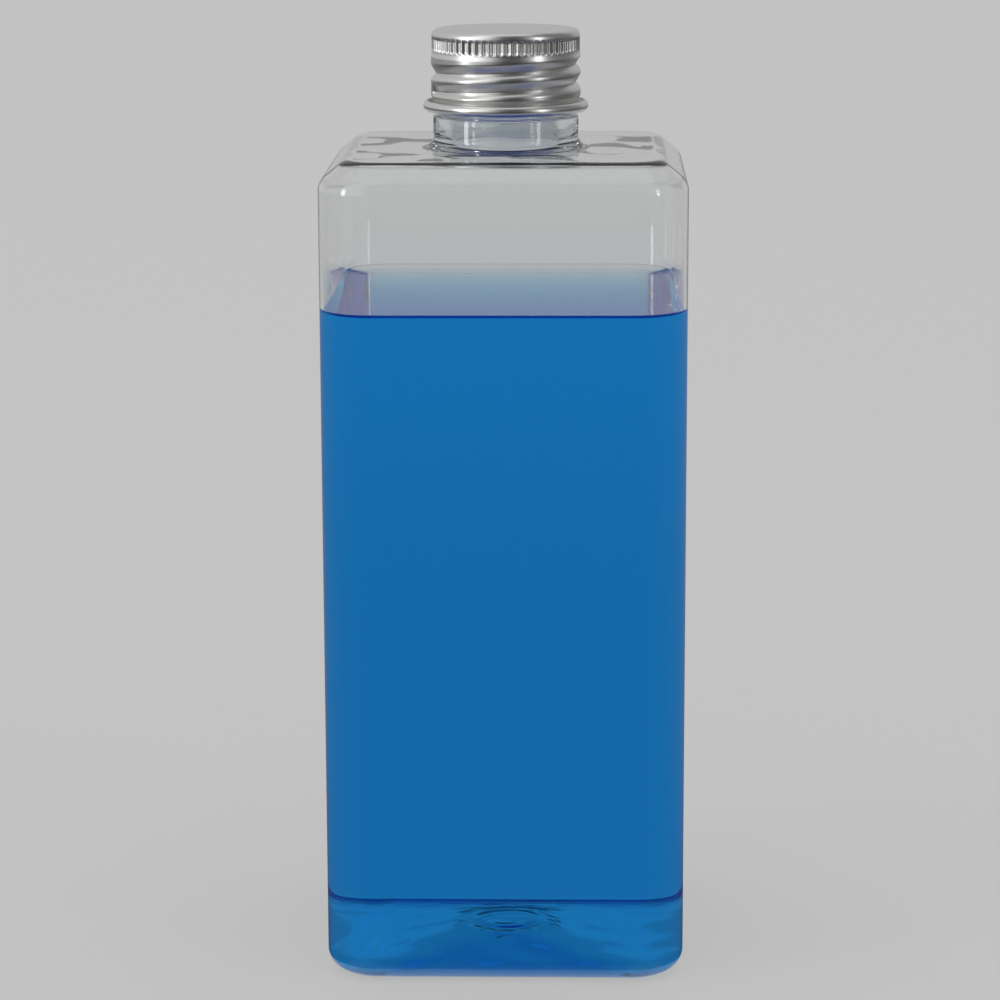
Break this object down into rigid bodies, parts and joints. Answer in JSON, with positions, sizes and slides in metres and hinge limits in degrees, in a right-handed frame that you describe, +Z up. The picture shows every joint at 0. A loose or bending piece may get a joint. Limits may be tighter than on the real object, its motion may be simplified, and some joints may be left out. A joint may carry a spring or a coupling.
{
  "type": "square plastic bottle",
  "caption": "Clear square blow-moulded bottle with a bevelled shoulder, a blue liquid fill and a fluted aluminium screw cap that unscrews with its liner.",
  "frame": {"origin": "centre of the base, on the surface the bottle stands on", "axes": "+Z up along the neck and the cap's axis, -Y out of the front wall, X and Y square to the side walls"},
  "size_m": [0.063, 0.063, 0.1642],
  "materials": {
    "clear_plastic": "clear, smooth, blow-moulded",
    "blue_liquid": "clear blue liquid",
    "cap_aluminium": "satin drawn sheet, matt flat top",
    "liner_foam": "closed-cell foam"
  },
  "bodies": {
    "bottle_body": {"bottle": "clear_plastic", "liquid": "blue_liquid"},
    "liner_body": {"cap_liner": "liner_foam"},
    "cap_body": {"screw_cap": "cap_aluminium"}
  },
  "joints": [
    {"name": "cap_lift", "type": "slide", "parent": "bottle_body", "child": "liner_body", "axis": [0, 0, 1], "range_m": [0, 0.016]},
    {"name": "cap_turn", "type": "hinge", "parent": "liner_body", "child": "cap_body", "pos_m": [0, 0, 0.157], "axis": [0, 0, 1], "range_deg": [0, 1800]}
  ],
  "couplings": [
    {"joint": "cap_lift", "follows": "cap_turn", "m_per_rad": 0.00050611}
  ]
}
